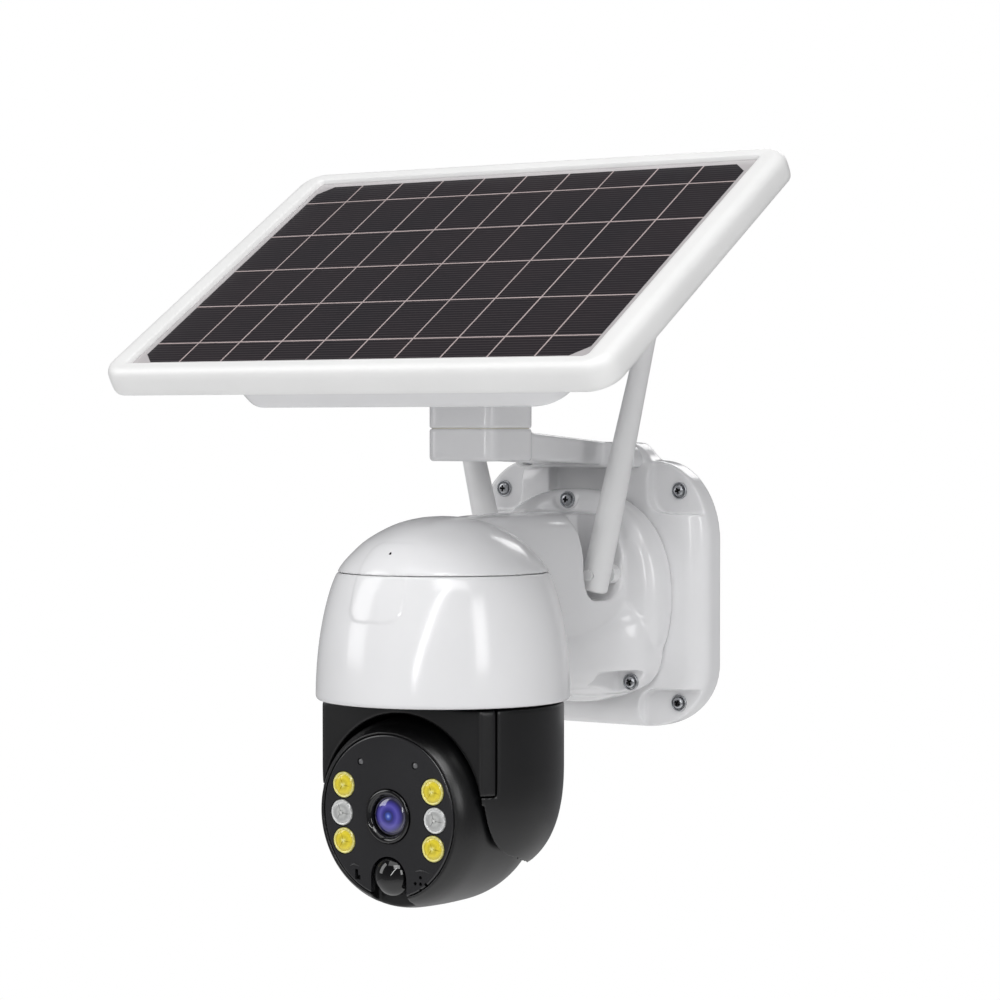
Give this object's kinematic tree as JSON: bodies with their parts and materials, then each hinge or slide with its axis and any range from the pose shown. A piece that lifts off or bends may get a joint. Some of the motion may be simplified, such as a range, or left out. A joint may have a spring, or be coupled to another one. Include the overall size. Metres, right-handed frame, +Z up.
{
  "type": "solar-powered pan-tilt security camera",
  "caption": "Wall-mounted security camera: a white dome on a curved neck carries a black pan-tilt head, under a tilting solar panel with battery box and folding antennas.",
  "frame": {"origin": "centre of the wall plate's back face, between its corner screws", "axes": "+Y into the wall, +Z up; the camera looks towards -Y at rest, and +X is on the right as the camera is seen from the front"},
  "size_m": [0.287, 0.2248, 0.3558],
  "materials": {
    "white_abs": "gloss moulded ABS, cool white",
    "antenna_white": "satin moulded sleeve, white",
    "panel_frame_white": "satin moulded ABS, off-white",
    "solar_glass": "smooth laminate over dark silicon cells",
    "yoke_black": "satin moulded ABS, black",
    "head_black": "satin moulded ABS, black",
    "face_black": "semi-gloss dark smoked face",
    "gloss_black": "polished black",
    "lens_glass": "coated lens, blue-violet",
    "sensor_grey": "small grey window",
    "led_clear": "clear lens over a white chip",
    "led_yellow": "yellow phosphor under a clear lens",
    "screw_steel": "bright steel",
    "motor_can": "plain pressed steel",
    "nylon": "natural nylon",
    "circuit_board": "green solder mask",
    "cell_wrap": "blue shrink wrap"
  },
  "bodies": {
    "housing": {"base_plate": "white_abs", "neck_housing": "white_abs", "dome_skirt": "white_abs", "solar_arm": "white_abs", "antenna_socket_left": "antenna_white", "antenna_socket_right": "antenna_white", "antenna_pin_left": "antenna_white", "antenna_pin_right": "antenna_white", "pan_floor": "yoke_black", "plate_screw_1": "screw_steel", "plate_screw_2": "screw_steel", "plate_screw_3": "screw_steel", "plate_screw_4": "screw_steel", "foot_screw_top": "screw_steel", "foot_screw_left": "screw_steel", "foot_screw_right": "screw_steel", "arm_screw_left": "screw_steel", "arm_screw_right": "screw_steel", "swivel_bolt": "screw_steel", "swivel_nut": "screw_steel", "pan_motor": "motor_can", "main_board": "circuit_board"},
    "pan_pinion": {"pan_pinion": "nylon"},
    "yoke": {"yoke_body": "yoke_black", "yoke_front": "yoke_black", "pan_gear": "nylon", "tilt_axle_right": "screw_steel", "tilt_axle_left": "screw_steel"},
    "head": {"head_shell": "head_black", "face_plate": "face_black", "lens_bezel": "gloss_black", "lens_glass": "lens_glass", "lens_barrel": "head_black", "image_board": "circuit_board", "led_board": "circuit_board", "led_lens_1": "led_yellow", "led_lens_2": "led_yellow", "led_lens_3": "led_clear", "led_lens_4": "led_clear", "led_lens_5": "led_yellow", "led_lens_6": "led_yellow", "pir_dome": "gloss_black", "light_sensor_1": "sensor_grey", "light_sensor_2": "sensor_grey", "speaker": "motor_can", "microphone": "motor_can", "tilt_motor": "motor_can"},
    "panel_swivel": {"panel_swivel": "white_abs", "hinge_bolt": "screw_steel", "hinge_nut": "screw_steel"},
    "panel": {"panel_frame": "panel_frame_white", "solar_laminate": "solar_glass", "battery_box": "white_abs", "hinge_lug": "white_abs", "battery_cell_1": "cell_wrap", "battery_cell_2": "cell_wrap", "battery_cell_3": "cell_wrap", "charge_board": "circuit_board"},
    "antenna_right": {"antenna_right": "antenna_white"},
    "antenna_left": {"antenna_left": "antenna_white"}
  },
  "joints": [
    {"name": "camera_pan", "type": "hinge", "parent": "housing", "child": "yoke", "pos_m": [0, -0.1411, -0.0445], "axis": [0, 0, 1], "range_deg": [-170, 170]},
    {"name": "pan_pinion_spin", "type": "hinge", "parent": "housing", "child": "pan_pinion", "pos_m": [0.03, -0.1411, -0.03], "axis": [0, 0, 1], "range_deg": [-515, 515]},
    {"name": "camera_tilt", "type": "hinge", "parent": "yoke", "child": "head", "pos_m": [0, -0.1411, -0.0945], "axis": [1, 0, 0], "range_deg": [-1, 59]},
    {"name": "panel_pan", "type": "hinge", "parent": "housing", "child": "panel_swivel", "pos_m": [0, -0.11, 0.084], "axis": [0, 0, 1], "range_deg": [-15, 15]},
    {"name": "panel_tilt", "type": "hinge", "parent": "panel_swivel", "child": "panel", "pos_m": [0, -0.11, 0.115], "axis": [1, 0, 0], "range_deg": [-5, 27]},
    {"name": "antenna_right_fold", "type": "hinge", "parent": "housing", "child": "antenna_right", "pos_m": [0.0299, -0.0527, 0.012], "axis": [0, 1, 0], "range_deg": [-10, 70]},
    {"name": "antenna_left_fold", "type": "hinge", "parent": "housing", "child": "antenna_left", "pos_m": [-0.0299, -0.0527, 0.012], "axis": [0, -1, 0], "range_deg": [-10, 70]}
  ],
  "couplings": [
    {"joint": "pan_pinion_spin", "follows": "camera_pan", "ratio": -3}
  ]
}
